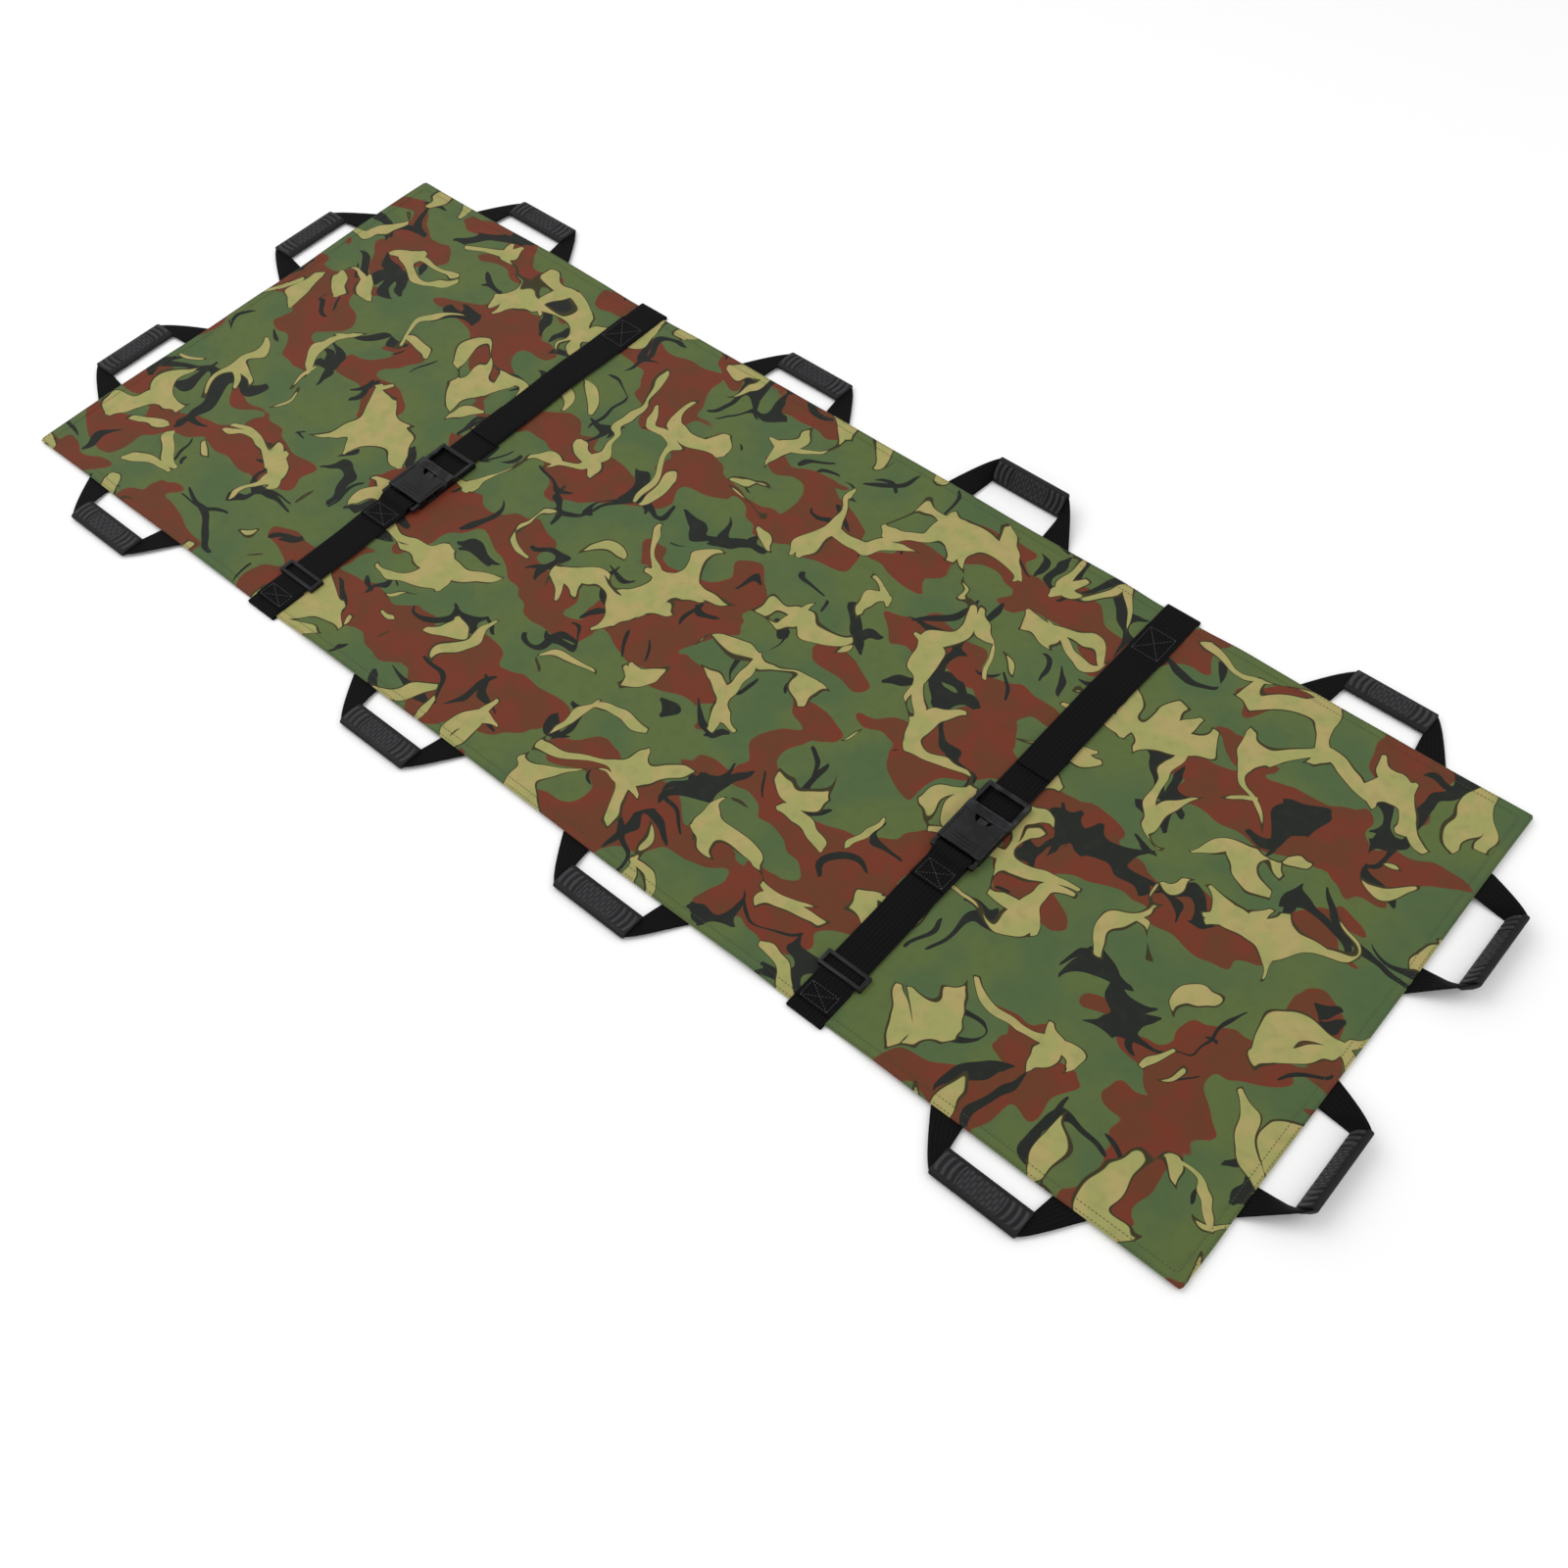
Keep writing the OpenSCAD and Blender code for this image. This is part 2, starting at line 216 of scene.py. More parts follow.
def bend_zone(section):
    """Where a section's cloth is cut finely for a bend: on the side of its fold that moves."""
    fold, reach = SECTIONS[section][4:]
    start = fold if fold > 0 else fold - reach
    return start, start + reach


def fold_steps(section, lo, hi, coarse):
    """Places from lo to hi: but for the ends, the same in every layer, so that the layers bend alike."""
    x0 = SECTIONS[section][0]
    start, end = bend_zone(section)
    fixed = [lo, hi] + [start + (end - start) * k / BEND_STEPS for k in range(BEND_STEPS + 1)]
    grid = [x0 + coarse * k for k in range(int((hi - x0) / coarse) + 1)]
    flat = [x for x in grid if lo < x < hi and not start < x < end]
    spare = [x for x in flat if min(abs(x - f) for f in fixed) > STEP_ROOM]
    return sorted(fixed + spare)


def shell(name, columns, rows, place, thickness, material):
    """A closed thin sheet over a grid: place(i, j) gives a point of its middle surface, and its UV."""
    verts, uvs, faces = [], [], []
    n = columns * rows
    for side in (0.5, -0.5):
        for i in range(columns):
            for j in range(rows):
                p, flat = place(i, j)
                verts.append(p + Vector((0, 0, side * thickness)))
                uvs.append(flat)

    def at(i, j, under):
        return i * rows + j + (n if under else 0)

    for i in range(columns - 1):
        for j in range(rows - 1):
            faces.append((at(i, j, 0), at(i + 1, j, 0), at(i + 1, j + 1, 0), at(i, j + 1, 0)))
            faces.append((at(i, j, 1), at(i, j + 1, 1), at(i + 1, j + 1, 1), at(i + 1, j, 1)))
    rim = [(i, 0) for i in range(columns)] + [(columns - 1, j) for j in range(1, rows)]
    rim += [(i, rows - 1) for i in range(columns - 2, -1, -1)] + [(0, j) for j in range(rows - 2, 0, -1)]
    for (a, b), (c, d) in zip(rim, rim[1:] + rim[:1]):
        faces.append((at(a, b, 1), at(c, d, 1), at(c, d, 0), at(a, b, 0)))
    return make_object(name, verts, faces, uvs, material, crease=60)


def ribbon(name, stations, thickness, material, across=8, flat_uv=False, parts=None):
    """A strap with soft edges. A station is (one edge, other edge, up): two points and a direction.

    Its UV is (length along, place across), or flat x, y. With parts, no object is made, and the mesh
    data is added to that list.
    """
    verts, uvs, faces = [], [], []
    ring = 2 * (across + 1) + 2
    run, last = 0.0, None
    for a, b, up in stations:
        mid = (a + b) / 2
        run += (mid - last).length if last is not None else 0.0
        last = mid
        width = (b - a).length
        up = up.normalized()
        half = thickness / 2
        inset = min(half, width / 2) / width
        loop = []
        for k in range(across + 1):
            s = inset + (1 - 2 * inset) * k / across
            loop.append((s, half))
        loop.append((1.0, 0.0))
        for k in range(across, -1, -1):
            s = inset + (1 - 2 * inset) * k / across
            loop.append((s, -half))
        loop.append((0.0, 0.0))
        for s, h in loop:
            p = a.lerp(b, s) + up * h
            verts.append(p)
            uvs.append((p.x, p.y) if flat_uv else (run, (s - 0.5) * width))
    count = len(stations)
    for i in range(count - 1):
        m, n = i * ring, (i + 1) * ring
        for k in range(ring):
            q = (k + 1) % ring
            faces.append((m + k, m + q, n + q, n + k))
    faces.append(tuple(range(ring - 1, -1, -1)))
    faces.append(tuple((count - 1) * ring + k for k in range(ring)))
    if parts is not None:
        parts.append((verts, faces, uvs))
        return None
    return make_object(name, verts, faces, uvs, material, crease=70)


def joined(name, parts, material, crease=70):
    """One object from a list of (verts, faces, uvs)."""
    verts, faces, uvs = [], [], []
    for v, f, u in parts:
        base = len(verts)
        verts += v
        uvs += u
        faces += [tuple(base + k for k in face) for face in f]
    return make_object(name, verts, faces, uvs, material, crease)


def round_path(points, radius, steps=5):
    """A polyline with its corners rounded: points are Vectors."""
    out = [points[0]]
    for a, b, c in zip(points, points[1:], points[2:]):
        r = min(radius, (a - b).length * 0.49, (c - b).length * 0.49)
        p, q = b + (a - b).normalized() * r, b + (c - b).normalized() * r
        out += [p.lerp(b, t / steps).lerp(b.lerp(q, t / steps), t / steps) for t in range(steps + 1)]
    out.append(points[-1])
    return out


def spaced(points, step):
    """Points at even steps along a polyline, both ends kept."""
    total = sum((b - a).length for a, b in zip(points, points[1:]))
    count = max(1, round(total / step))
    out, want, run = [], 0.0, 0.0
    for a, b in zip(points, points[1:]):
        length = (b - a).length
        while want <= run + length + 1e-9 and len(out) < count:
            out.append(a.lerp(b, (want - run) / max(length, 1e-9)))
            want += total / count
        run += length
    out.append(points[-1])
    return out


def strap_stations(path, across_dir, width):
    """Stations of a strap of constant width whose middle follows path, its width along across_dir."""
    side = across_dir.normalized() * width / 2
    out = []
    for k, p in enumerate(path):
        ahead = path[min(k + 1, len(path) - 1)] - path[max(k - 1, 0)]
        up = ahead.cross(across_dir)
        out.append((p + side, p - side, up))
    return out


def stitch_parts(path, up, parts, stitch=3.2 * MM, gap=1.5 * MM, radius=0.42 * MM):
    """Adds a row of sewn stitches along a polyline to parts: small spindles pressed into the cloth."""
    ring = 6
    shape = ((0.0, 0.15), (0.2, 0.8), (0.5, 1.0), (0.8, 0.8), (1.0, 0.15))
    last = len(shape) - 1
    sunk = 0.45
    points = spaced(path, stitch + gap)
    for a, b in zip(points, points[1:]):
        ahead = (b - a).normalized()
        side = up.cross(ahead).normalized()
        end = a + ahead * stitch * (b - a).length / (stitch + gap)
        verts, uvs = [], []
        for t, r in shape:
            mid = a.lerp(end, t) + up * radius * (r - sunk)
            for k in range(ring):
                turn = math.tau * k / ring
                verts.append(mid + (side * math.cos(turn) + up * math.sin(turn)) * radius * r)
                uvs.append((t, k / ring))
        parts.append((verts, tube_faces(ring, last), uvs))


def tube_faces(ring, last):
    """The faces of a closed tube whose rings of points are numbered 0 to last."""
    faces = [
        (i * ring + k, i * ring + (k + 1) % ring, (i + 1) * ring + (k + 1) % ring, (i + 1) * ring + k)
        for i in range(last)
        for k in range(ring)
    ]
    faces += [tuple(range(ring - 1, -1, -1)), tuple(range(ring * last, ring * (last + 1)))]
    return faces


# ---------------------------------------------------------------- materials


class Paint:
    """A node material, with short calls for the nodes that the surfaces share."""

    def __init__(self, name, roughness=0.6, **sockets):
        self.material = bpy.data.materials.new(name)
        self.material.use_nodes = True
        self.tree = self.material.node_tree
        self.shader = self.tree.nodes["Principled BSDF"]
        self.shader.inputs["Roughness"].default_value = roughness
        for key, value in sockets.items():
            self.shader.inputs[key.replace("_", " ")].default_value = value

    def node(self, kind, **settings):
        made = self.tree.nodes.new("ShaderNode" + kind)
        for key, value in settings.items():
            setattr(made, key, value)
        return made

    def feed(self, socket, value):
        if isinstance(value, bpy.types.NodeSocket):
            self.tree.links.new(value, socket)
        else:
            socket.default_value = value

    def surface(self):
        return self.node("UVMap", uv_map="surface").outputs["UV"]

    def solid(self):
        return self.node("TexCoord").outputs["Object"]

    def maths(self, operation, a, b=0.0, c=0.0):
        made = self.node("Math", operation=operation)
        for socket, value in zip(made.inputs, (a, b, c)):
            self.feed(socket, value)
        return made.outputs[0]

    def moved(self, vector, offset=(0, 0, 0), scale=(1, 1, 1), turn=0.0):
        made = self.node("Mapping")
        self.feed(made.inputs["Vector"], vector)
        made.inputs["Location"].default_value = offset
        made.inputs["Rotation"].default_value = (0, 0, turn)
        made.inputs["Scale"].default_value = scale
        return made.outputs[0]

    def noise(self, vector, scale, detail=2.0, roughness=0.5, colour=False, distortion=0.0):
        made = self.node("TexNoise")
        self.feed(made.inputs["Vector"], vector)
        made.inputs["Scale"].default_value = scale
        made.inputs["Detail"].default_value = detail
        made.inputs["Roughness"].default_value = roughness
        made.inputs["Distortion"].default_value = distortion
        return made.outputs["Color" if colour else "Fac"]

    def wave(self, vector, period, axis="X", distortion=0.0):
        """Even bands across one axis, a period apart."""
        made = self.node("TexWave", bands_direction=axis)
        self.feed(made.inputs["Vector"], vector)
        made.inputs["Scale"].default_value = math.tau / 20 / period
        made.inputs["Distortion"].default_value = distortion
        return made.outputs["Fac"]

    def vector(self, operation, a, b):
        made = self.node("VectorMath", operation=operation)
        self.feed(made.inputs[0], a)
        self.feed(made.inputs[1], b)
        return made.outputs[0]

    def band(self, value, low, high, to_low=0.0, to_high=1.0):
        """to_low below low, to_high above high, smooth between."""
        made = self.node("MapRange", interpolation_type="SMOOTHSTEP")
        self.feed(made.inputs["Value"], value)
        made.inputs["From Min"].default_value = low
        made.inputs["From Max"].default_value = high
        made.inputs["To Min"].default_value = to_low
        made.inputs["To Max"].default_value = to_high
        return made.outputs[0]

    def scaled(self, colour, share):
        """A colour times a number."""
        made = self.node("VectorMath", operation="SCALE")
        self.feed(made.inputs[0], colour)
        self.feed(made.inputs["Scale"], share)
        return made.outputs[0]

    def part(self, vector, index):
        """One number of a vector: 0 for x, 1 for y, 2 for z."""
        made = self.node("SeparateXYZ")
        self.feed(made.inputs[0], vector)
        return made.outputs[index]

    def mix(self, share, a, b):
        made = self.node("Mix", data_type="RGBA")
        self.feed(made.inputs[0], share)
        for socket, value in ((made.inputs[6], a), (made.inputs[7], b)):
            self.feed(socket, value if isinstance(value, bpy.types.NodeSocket) else (*value, 1.0))
        return made.outputs[2]

    def bump(self, height, strength, distance, below=None):
        made = self.node("Bump")
        self.feed(made.inputs["Height"], height)
        made.inputs["Strength"].default_value = strength
        made.inputs["Distance"].default_value = distance
        if below is not None:
            self.feed(made.inputs["Normal"], below)
        return made.outputs[0]

    def finish(self, colour, normal=None, roughness=None):
        self.feed(self.shader.inputs["Base Color"], colour)
        if normal is not None:
            self.feed(self.shader.inputs["Normal"], normal)
        if roughness is not None:
            self.feed(self.shader.inputs["Roughness"], roughness)
        return self.material


def linear(red, green, blue):
    """A screen colour, 0 to 255, as a linear one."""
    return tuple(
        ((c / 255 + 0.055) / 1.055) ** 2.4 if c > 10 else c / 255 / 12.92
        for c in (red, green, blue)
    )


GREEN = linear(83, 98, 50)
TEAL = linear(72, 93, 54)
BROWN = linear(96, 48, 22)
RUST = linear(106, 44, 22)
KHAKI = linear(150, 149, 88)
TAN = linear(164, 150, 94)
CHARCOAL = linear(20, 24, 18)
OLIVE = linear(50, 44, 16)
SOIL = linear(60, 66, 50)

# Threads of the plain weave are this far apart.
YARN = 1.1 * MM


def warped(p, flat):
    """The flat coordinates, pulled about at two scales so that every edge of the print wanders."""
    for scale, reach in ((10.0, 0.06), (30.0, 0.022)):
        pull = p.vector("SUBTRACT", p.noise(flat, scale, 0.0, colour=True), (0.5, 0.5, 0.5))
        flat = p.vector("ADD", flat, p.vector("MULTIPLY", pull, (reach, reach, 0.0)))
    return flat


def figures(p, near, seed, grain, patch, share, thin, thick):
    """Branching figures, as a field that is above 0 inside them: two sets of lines, cut to patches."""
    spread = p.noise(p.moved(near, (seed * 1.7, 0.2, 0.0)), patch, 0.0)
    inside = p.maths("SUBTRACT", spread, share)
    width = p.band(inside, 0.0, 0.16, thin, thick)
    lines = []
    for k in (1.0, 2.0):
        spot = p.moved(near, (seed + k, seed * 0.53 - k, 0.0), (1.0, 1.0, 1.0), 0.7 * k)
        lines.append(p.maths("ABSOLUTE", p.maths("SUBTRACT", p.noise(spot, grain, 0.0), 0.5)))
    body = p.maths("SUBTRACT", width, p.maths("MINIMUM", *lines))
    return p.maths("SMOOTH_MIN", body, p.maths("MULTIPLY", inside, 0.9), 0.02)


def camo_paint():
    """Woodland camouflage printed on a plain weave, laid out in the sheet's own flat coordinates, with
    painted shading between its threads and a painted highlight on their crowns.
    """
    p = Paint("camo_print", Specular_IOR_Level=0.22, Sheen_Weight=0.04, Sheen_Roughness=0.5)
    flat = p.surface()
    near = warped(p, flat)
    khaki = figures(p, near, seed=5.9, grain=8.5, patch=11.0, share=0.505, thin=0.02, thick=0.055)
    dark = figures(p, near, seed=3.3, grain=11.0, patch=12.0, share=0.55, thin=0.016, thick=0.045)
    brown = p.noise(p.moved(near, (1.3, 0.5, 0.0), (0.8, 1.15, 1.0)), 9.0, 1.5)
    ground = p.mix(p.band(p.noise(flat, 9.0, 2.0), 0.4, 0.62), GREEN, TEAL)
    earth = p.mix(p.band(p.noise(flat, 22.0, 1.0), 0.4, 0.62), BROWN, RUST)
    sand = p.mix(p.band(p.noise(flat, 30.0, 1.0), 0.4, 0.64), KHAKI, TAN)
    colour = p.mix(p.band(brown, 0.525, 0.53), ground, earth)
    colour = p.mix(p.band(dark, 0.0, 0.003), colour, CHARCOAL)
    colour = p.mix(p.band(khaki, -0.008, -0.006), colour, OLIVE)
    colour = p.mix(p.band(khaki, 0.0, 0.003), colour, sand)
    soil = p.noise(flat, 70.0, 3.0)
    colour = p.mix(p.maths("MULTIPLY", p.band(soil, 0.45, 0.75), 0.12), colour, SOIL)
    weave = p.maths("ADD", p.wave(flat, YARN, "X"), p.wave(flat, YARN, "Y"))
    # Painted shading and highlight: the print is darkened where the weave is low and brightened on the
    # threads' crowns.
    weave_shade_and_highlight = p.band(weave, 0.2, 1.6, 0.86, 1.06)
    colour = p.scaled(colour, weave_shade_and_highlight)
    creases = p.noise(p.moved(flat, (0, 0, 0), (0.7, 1.0, 1.0)), 22.0, 3.0, 0.55, distortion=0.8)
    below = p.bump(creases, 0.45, 5.0 * MM)
    normal = p.bump(weave, 0.3, 0.25 * MM, below)
    rough = p.maths("ADD", p.maths("MULTIPLY", soil, 0.16), 0.62)
    return p.finish(colour, normal, rough)


def backing_paint():
    """Coated dark cloth on the underside: the weave shows through a thin, slightly shiny coat."""
    p = Paint("coated_backing", Coat_Weight=0.15, Coat_Roughness=0.45)
    flat = p.surface()
    patchy = p.noise(flat, 14.0, 3.0)
    colour = p.mix(p.band(patchy, 0.3, 0.7), linear(38, 44, 36), linear(50, 56, 46))
    weave = p.maths("ADD", p.wave(flat, YARN, "X"), p.wave(flat, YARN, "Y"))
    below = p.bump(p.noise(flat, 18.0, 3.0), 0.3, 4.0 * MM)
    rough = p.maths("ADD", p.maths("MULTIPLY", patchy, 0.2), 0.42)
    return p.finish(colour, p.bump(weave, 0.2, 0.25 * MM, below), rough)


def webbing_paint(name, dark, light, rib):
    """Woven nylon strap: ribs across it, a lengthwise ground, and paler crowns on the raised yarns, a
    painted highlight.
    """
    p = Paint(name, Specular_IOR_Level=0.06)
    flat = p.surface()
    ribs = p.wave(flat, rib, "X", 0.4)
    chevron = p.maths("PINGPONG", p.part(flat, 1), 2.6 * MM)
    slant = p.node("CombineXYZ")
    p.feed(slant.inputs[0], p.maths("ADD", p.part(flat, 0), chevron))
    yarns = p.wave(slant.outputs[0], 1.7 * MM, "X")
    runs = p.wave(flat, 5.2 * MM, "Y")
    height = p.maths("ADD", p.maths("MULTIPLY", yarns, 0.6), p.maths("MULTIPLY", runs, 0.5))
    fuzz = p.noise(flat, 240.0, 3.0)
    # Painted highlight: where the yarns are raised, with some fine fuzz, the strap takes its paler colour.
    painted_highlight = p.maths("ADD", height, p.maths("MULTIPLY", fuzz, 0.4))
    share = p.maths("MULTIPLY", p.band(painted_highlight, 0.5, 1.4), 0.8)
    colour = p.mix(share, dark, light)
    below = p.bump(ribs, 0.2, 0.4 * MM)
    normal = p.bump(height, 0.5, 0.5 * MM, below)
    rough = p.maths("ADD", p.maths("MULTIPLY", fuzz, 0.2), 0.48)
    return p.finish(colour, normal, rough)


def plastic_paint(name, dark, light, roughness, grain, relief_highlight=None):
    """Moulded plastic: fine spark grain, sharp edges made paler in patches as a painted highlight, and
    roughness that varies with handling.

    With a relief colour given, the part's raised relief takes that paler colour as a painted highlight, and
    its grooves stay dark.
    """
    p = Paint(name, Specular_IOR_Level=0.24)
    spot = p.solid()
    handled = p.noise(spot, 60.0, 3.0)
    edge = p.node("NewGeometry").outputs["Pointiness"]
    # Painted highlight: sharp edges, found by pointiness, are made paler in patches.
    painted_highlight = p.maths("MULTIPLY", p.band(edge, 0.52, 0.62), p.band(handled, 0.35, 0.7))
    body = dark
    if relief_highlight is not None:
        # Painted highlight: the raised relief takes the paler relief colour, a little less in patches.
        raised = p.node("Attribute", attribute_name="relief").outputs["Fac"]
        body = p.mix(p.maths("MULTIPLY", raised, p.band(handled, 0.2, 0.7, 0.75, 1.0)), dark, relief_highlight)
    colour = p.mix(p.maths("MULTIPLY", painted_highlight, 0.5), body, light)
    fine = p.noise(spot, grain, 2.0)
    rough = p.maths("ADD", p.maths("MULTIPLY", handled, 0.22), roughness - 0.1)
    return p.finish(colour, p.bump(fine, 0.25, 0.15 * MM), rough)


def thread_paint(name, tone):
    """Sewing thread: a fine twist between the tone and a paler one."""
    p = Paint(name, 0.7, Sheen_Weight=0.2)
    spot = p.solid()
    twist = p.noise(spot, 900.0, 2.0)
    colour = p.mix(p.band(twist, 0.35, 0.65), tone, tuple(c * 1.8 for c in tone))
    return p.finish(colour, p.bump(twist, 0.3, 0.1 * MM))


CAMO = camo_paint()
BACKING = backing_paint()
# The paler colour given to each webbing is a painted highlight on its raised yarns.
HANDLE_WEB = webbing_paint(
    "handle_webbing_weave", dark=linear(6, 6, 7), light=linear(21, 21, 22), rib=3.0 * MM
)
BELT_WEB = webbing_paint(
    "belt_webbing_weave", dark=linear(6, 6, 7), light=linear(21, 21, 23), rib=4.0 * MM
)
# Each plastic's pale colour is a painted highlight on its sharp edges.
GRIP = plastic_paint(
    "grip_plastic_moulded", dark=linear(9, 9, 10), light=linear(74, 75, 78), roughness=0.5,
    # The grip's relief colour is a painted highlight on its raised relief.
    grain=1400.0, relief_highlight=linear(50, 50, 53)
)
BUCKLE = plastic_paint(
    "buckle_plastic_moulded", dark=linear(9, 9, 11), light=linear(66, 67, 72), roughness=0.38,
    grain=1800.0
)
CAMO_THREAD = thread_paint("hem_thread", linear(44, 52, 34))
BLACK_THREAD = thread_paint("webbing_thread", linear(48, 48, 50))


# ---------------------------------------------------------------- the sheet

CLOTH_T = 0.8 * MM
CELL = 9 * MM
# How far the cloth's edge goes into the hem, and the hem's own small measures.
TUCK = 4 * MM
RIM_GAP = 0.4 * MM
RIM_RAISE = 0.15 * MM
RIM_EXTRA = 0.5 * MM
CORNER_ROUND = 4 * MM
CORNER_RUN = 60 * MM
# The hem's two rows of stitches: in from the outer edge, and out from the inner one.
OUTER_ROW = 3 * MM
INNER_ROW = 2.5 * MM
ROW_STEP = 4 * MM
ROW_UP = 0.4 * MM


def cloth_sheet(section, level, thickness, material, name):
    """One layer of the sheet in one section."""
    x0, x1 = SECTIONS[section][:2]
    inset = HEM_W - TUCK
    lo_x = max(x0, -HALF_L + inset)
    hi_x = min(x1, HALF_L - inset)
    xs = fold_steps(section, lo_x, hi_x, CELL)
    rows = round(2 * (HALF_W - inset) / CELL) + 1

    def place(i, j):
        y = (HALF_W - inset) * (2 * j / (rows - 1) - 1)
        return laid(Vector((xs[i], y, 0)), level), (xs[i], y)

    return shell(name, len(xs), rows, place, thickness, material)


def rim_path(section, inset):
    """The sheet's outline in one section, inset from the edge."""
    x0, x1 = SECTIONS[section][:2]
    y = HALF_W - inset
    if section == "mid":
        return [[Vector((x0, side * y, 0)), Vector((x1, side * y, 0))] for side in (-1, 1)]
    return [end_path(section, x1 if section == "head" else x0, inset)]


def end_path(section, near, inset):
    """The outline of a section's outer end, from near on one side, round both corners, to near again."""
    y = HALF_W - inset
    far = (-1 if section == "head" else 1) * (HALF_L - inset)
    spots = ((near, -y), (far, -y), (far, y), (near, y))
    return round_path([Vector((a, b, 0)) for a, b in spots], max(1 * MM, CORNER_ROUND - inset))


def laid(p, level):
    """A flat point, moved with the cloth's wander and lifted onto it."""
    dx, dy = edge_wander(p.x, p.y)
    return Vector((p.x + dx, p.y + dy, level + ripple(p.x, p.y)))


def lifted(path):
    """Points on a strap, raised with the cloth that it lies on."""
    return [p + Vector((0, 0, ripple(p.x, p.y))) for p in path]


def hem(section):
    """The rim, turned in and stitched: a soft-edged double fold a little thicker than the sheet."""
    parts = []
    middle = (BASE_Z + SHEET_Z) / 2 + RIM_RAISE
    thickness = SHEET_Z - BASE_Z + RIM_EXTRA
    out_y, in_y = HALF_W - RIM_GAP, HALF_W - HEM_W
    x0, x1 = SECTIONS[section][:2]
    corner = HALF_L - CORNER_RUN
    xs = fold_steps(section, max(x0, -corner), min(x1, corner), CELL)
    runs = [
        [(Vector((x, side * out_y, 0)), Vector((x, side * in_y, 0))) for x in xs]
        for side in (-1, 1)
    ]
    if section != "mid":
        end = -1 if section == "head" else 1
        count = round(2 * HALF_W / (CELL / 2))
        outer, inner = (even(end_path(section, end * corner, inset), count) for inset in (RIM_GAP, HEM_W))
        corner_run = list(zip(outer, inner))
        first, last = runs if end > 0 else (runs[0][::-1], runs[1][::-1])
        runs = [first + corner_run[1:-1] + last[::-1]]
    for run in runs:
        stations = [(laid(a, middle), laid(b, middle), UP) for a, b in run]
        ribbon("", stations, thickness, CAMO, across=4, flat_uv=True, parts=parts)
    return joined("hem_" + section, parts, CAMO)


def even(points, count):
    """count + 1 points at even shares of a polyline."""
    lengths = [0.0]
    for a, b in zip(points, points[1:]):
        lengths.append(lengths[-1] + (b - a).length)
    out, k = [], 0
    for step in range(count + 1):
        want = lengths[-1] * step / count
        while k < len(points) - 2 and lengths[k + 1] < want:
            k += 1
        share = (want - lengths[k]) / max(lengths[k + 1] - lengths[k], 1e-9)
        out.append(points[k].lerp(points[k + 1], min(1.0, share)))
    return out


def hem_stitches(section):
    """The hem's two rows of stitches in one section."""
    parts = []
    top = SHEET_Z + ROW_UP
    for inset in (OUTER_ROW, HEM_W - INNER_ROW):
        for path in rim_path(section, inset):
            length = sum((b - a).length for a, b in zip(path, path[1:]))
            fine = even(path, max(2, round(length / ROW_STEP)))
            stitch_parts([laid(p, top) for p in fine], UP, parts)
    return joined("hem_stitches_" + section, parts, CAMO_THREAD)


def across_fold(obj):
    """Bakes a piece's transform into its mesh."""
    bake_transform(obj)


def raised_with_cloth(obj):
    """Lifts every point of a flat piece by the cloth's own ripple there."""
    for vertex in obj.data.vertices:
        vertex.co.z += ripple(vertex.co.x, vertex.co.y)
    return obj


# The underside bands. A pair of them lines up with the legs of each handle, and the middle of each band is
# LEG_HALF_PITCH from the middle of the handle.
BAND_T = 0.9 * MM
BAND_GAP = 0.05 * MM
BAND_END = 18 * MM
LEG_W = 42 * MM
FOOT_HANDLES = [h for h in HANDLES if h.startswith("foot")]
END_PAIR = [sum(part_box(h + "_grip")[k][1] for k in (0, 1)) / 2 for h in FOOT_HANDLES]
LOOP_LO, LOOP_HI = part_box("left_handle_2_webbing")
LEG_HALF_PITCH = (LOOP_HI[0] - LOOP_LO[0] - LEG_W) / 2
# The band under each belt, and how far it goes past the sheet's edge.
BELT_BAND_W = 50 * MM
BELT_BAND_OUT = 4 * MM
SIDE_HANDLE = {"head_end": 1, "head_mid": 2, "foot_mid": 3, "foot_end": 4}


def lengthwise_bands(section):
    """The four bands that join the end handles, in one section."""
    x0, x1 = SECTIONS[section][:2]
    parts = []
    for y_mid in END_PAIR:
        for side in (-1, 1):
            y = y_mid + side * LEG_HALF_PITCH
            start = max(x0, -HALF_L + BAND_END)
            stop = min(x1, HALF_L - BAND_END)
            path = [Vector((x, y, BAND_T / 2)) for x in fold_steps(section, start, stop, CELL)]
            stations = strap_stations(path, Vector((0, 1, 0)), LEG_W)
            ribbon("", stations, BAND_T, None, across=4, parts=parts)
    return raised_with_cloth(joined("lengthwise_bands_" + section, parts, HANDLE_WEB))


def crosswise_bands(panel):
    """The bands that join a panel's side handles, and the one under its belt if it has one."""
    parts = []
    mid = JOINTS[f"lift_left_handle_{SIDE_HANDLE[panel]}"]["pos_m"][0]
    bands = [(mid + side * LEG_HALF_PITCH, LEG_W, HALF_W - BAND_END) for side in (-1, 1)]
    if "mid" in panel:
        belt = "head_belt" if panel.startswith("head") else "foot_belt"
        bands.append((belt_x(belt), BELT_BAND_W, HALF_W + BELT_BAND_OUT))
    level = 1.5 * BAND_T + BAND_GAP
    for x, width, reach in bands:
        path = spaced([Vector((x, -reach, level)), Vector((x, reach, level))], CELL)
        stations = strap_stations(path, Vector((1, 0, 0)), width)
        ribbon("", stations, BAND_T, None, across=4, parts=parts)
    return raised_with_cloth(joined("crosswise_bands_" + panel, parts, HANDLE_WEB))


